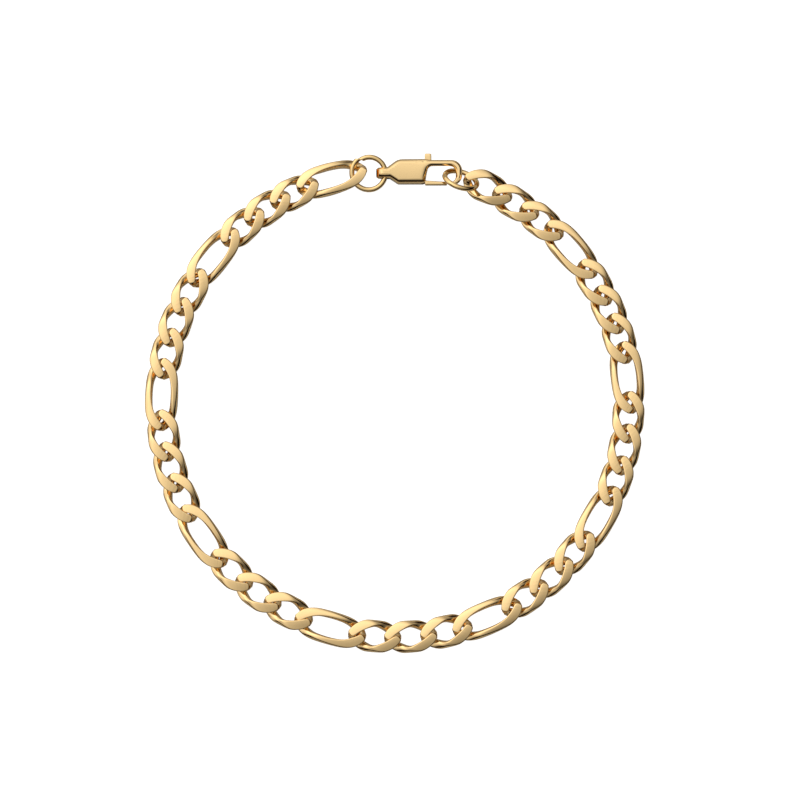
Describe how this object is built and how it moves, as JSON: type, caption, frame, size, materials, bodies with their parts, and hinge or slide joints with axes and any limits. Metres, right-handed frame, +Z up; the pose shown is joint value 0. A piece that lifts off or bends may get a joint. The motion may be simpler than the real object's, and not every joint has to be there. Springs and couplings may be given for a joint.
{
  "type": "link bracelet",
  "caption": "Closed chain bracelet of twisted, flat-cut curb links, short and long, with two jump rings and a sprung lobster clasp.",
  "frame": {"origin": "under the middle of the closed loop's bounding box, on the surface that the bracelet lies on", "axes": "+Z up through the wrist's hollow; +Y from the middle of the loop to the clasp; +X to the right, from the clasp's tongue to its hook"},
  "size_m": [0.0692, 0.0698, 0.0043],
  "materials": {
    "chain_links": "polished gold-coloured metal, each link cut flat on both faces to bright facets with crisp edges",
    "jump_rings": "polished drawn round wire, gold-coloured",
    "clasp_metal": "polished cast metal with softened edges, gold-coloured"
  },
  "bodies": {
    "bracelet": {"link_01": "chain_links", "link_02": "chain_links", "link_03": "chain_links", "link_04": "chain_links", "link_05": "chain_links", "link_06": "chain_links", "link_07": "chain_links", "link_08": "chain_links", "link_09": "chain_links", "link_10": "chain_links", "link_11": "chain_links", "link_12": "chain_links", "link_13": "chain_links", "link_14": "chain_links", "link_15": "chain_links", "link_16": "chain_links", "link_17": "chain_links", "link_18": "chain_links", "link_19": "chain_links", "link_20": "chain_links", "link_21": "chain_links", "link_22": "chain_links", "link_23": "chain_links", "link_24": "chain_links", "link_25": "chain_links", "link_26": "chain_links", "link_27": "chain_links", "link_28": "chain_links", "link_29": "chain_links", "link_30": "chain_links", "link_31": "chain_links", "link_32": "chain_links", "link_33": "chain_links", "link_34": "chain_links", "link_35": "chain_links", "link_36": "chain_links", "tail_jump_ring": "jump_rings", "hook_jump_ring": "jump_rings", "clasp_case": "clasp_metal", "trigger_pin": "clasp_metal"},
    "trigger": {"clasp_trigger": "clasp_metal"}
  },
  "joints": [
    {"name": "trigger_pivot", "type": "hinge", "parent": "bracelet", "child": "trigger", "pos_m": [0.0035, 0.03184, 0.0009], "axis": [0, 0, 1], "range_deg": [0, 14], "stiffness_Nm_per_rad": 0.004, "springref_deg": -20.05}
  ]
}
